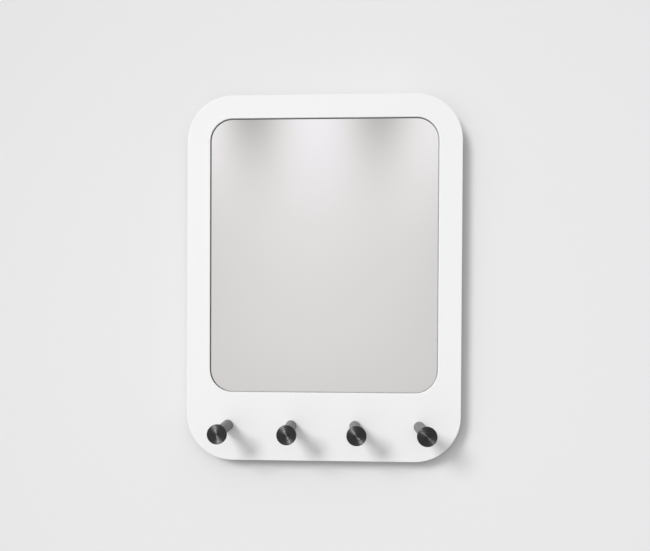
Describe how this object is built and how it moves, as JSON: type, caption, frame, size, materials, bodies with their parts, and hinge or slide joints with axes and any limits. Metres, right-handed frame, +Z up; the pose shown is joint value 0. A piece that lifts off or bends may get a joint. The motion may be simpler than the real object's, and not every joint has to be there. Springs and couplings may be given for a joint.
{
  "type": "wall mirror with pegs",
  "caption": "Upright wall mirror in a white lacquered board with large round corners and a row of dark turned pegs below the glass, hung by keyhole plates let in its back.",
  "frame": {"origin": "on the back of the board, midway between the round entries of its two keyholes", "axes": "+Z up, +X to the right for someone who looks in the mirror, +Y into the wall, so the mirror and the pegs face -Y"},
  "size_m": [0.3, 0.065, 0.4],
  "materials": {
    "white_lacquer": "medium-density fibreboard in satin white lacquer",
    "silvered_glass": "polished, silvered on the back",
    "safety_film": "smooth film",
    "foam_tape": "closed-cell foam",
    "dark_metal": "dark anodised, turned, with a spun-brushed end face",
    "zinc_steel": "bright zinc plated",
    "felt": "pressed felt"
  },
  "bodies": {
    "root": {"board": "white_lacquer", "mirror_glass": "silvered_glass", "safety_film": "safety_film", "mounting_tape": "foam_tape", "peg_1": "dark_metal", "peg_2": "dark_metal", "peg_3": "dark_metal", "peg_4": "dark_metal", "peg_screws": "zinc_steel", "peg_washers": "zinc_steel", "hanger_left": "zinc_steel", "hanger_right": "zinc_steel", "hanger_screws": "zinc_steel", "wall_pads": "felt"}
  },
  "joints": []
}
